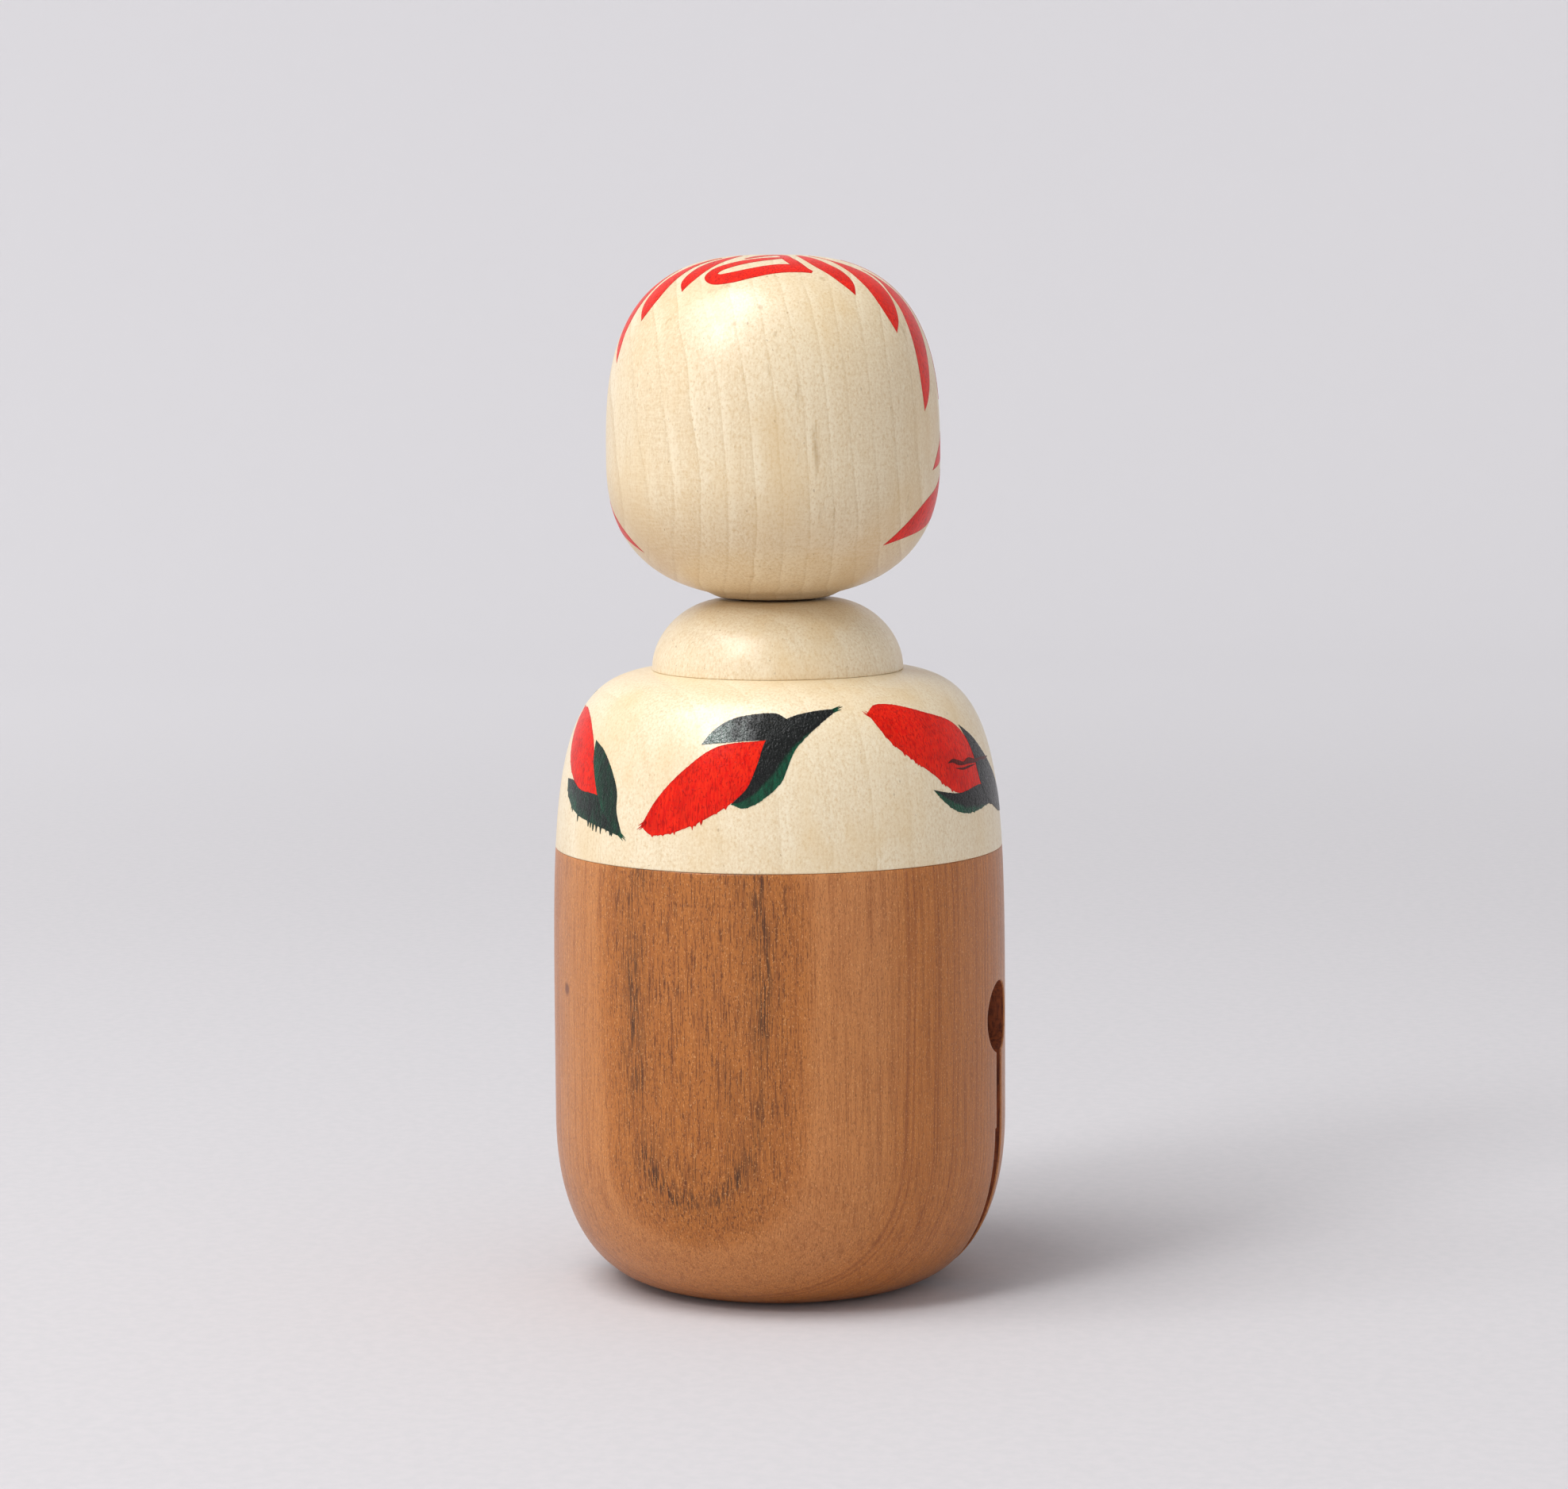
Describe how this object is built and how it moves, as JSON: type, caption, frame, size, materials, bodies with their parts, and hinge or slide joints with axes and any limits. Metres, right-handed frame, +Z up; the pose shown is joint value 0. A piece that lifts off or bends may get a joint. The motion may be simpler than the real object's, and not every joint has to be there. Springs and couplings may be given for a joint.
{
  "type": "kokeshi doll",
  "caption": "Turned wooden kokeshi doll: pale head that turns on a neck dowel, domed collar, painted upper body and a dark hollow bell body with a slit and a loose rattle ball.",
  "frame": {"origin": "centre of the flat foot, on the surface that the doll stands on", "axes": "+Z up along the turning axis, face towards -Y, sound holes at +X and -X, slit in the XZ plane"},
  "size_m": [0.0538, 0.0538, 0.1219],
  "materials": {
    "pale_wood": "satin clear wax",
    "cherry_wood": "satin clear wax",
    "plain_wood": "unfinished turned wood"
  },
  "bodies": {
    "body": {"bell_body": "cherry_wood", "upper_body": "pale_wood", "neck_collar": "pale_wood"},
    "head": {"head": "pale_wood", "neck_dowel": "plain_wood"},
    "ball": {"rattle_ball": "plain_wood"}
  },
  "joints": [
    {"name": "head_turn", "type": "hinge", "parent": "body", "child": "head", "pos_m": [0, 0, 0.0735], "axis": [0, 0, 1], "continuous": true},
    {"name": "ball_roll", "type": "hinge", "parent": "body", "child": "ball", "pos_m": [0, 0, 0.0269], "axis": [0, 1, 0], "range_deg": [-75, 75]}
  ]
}
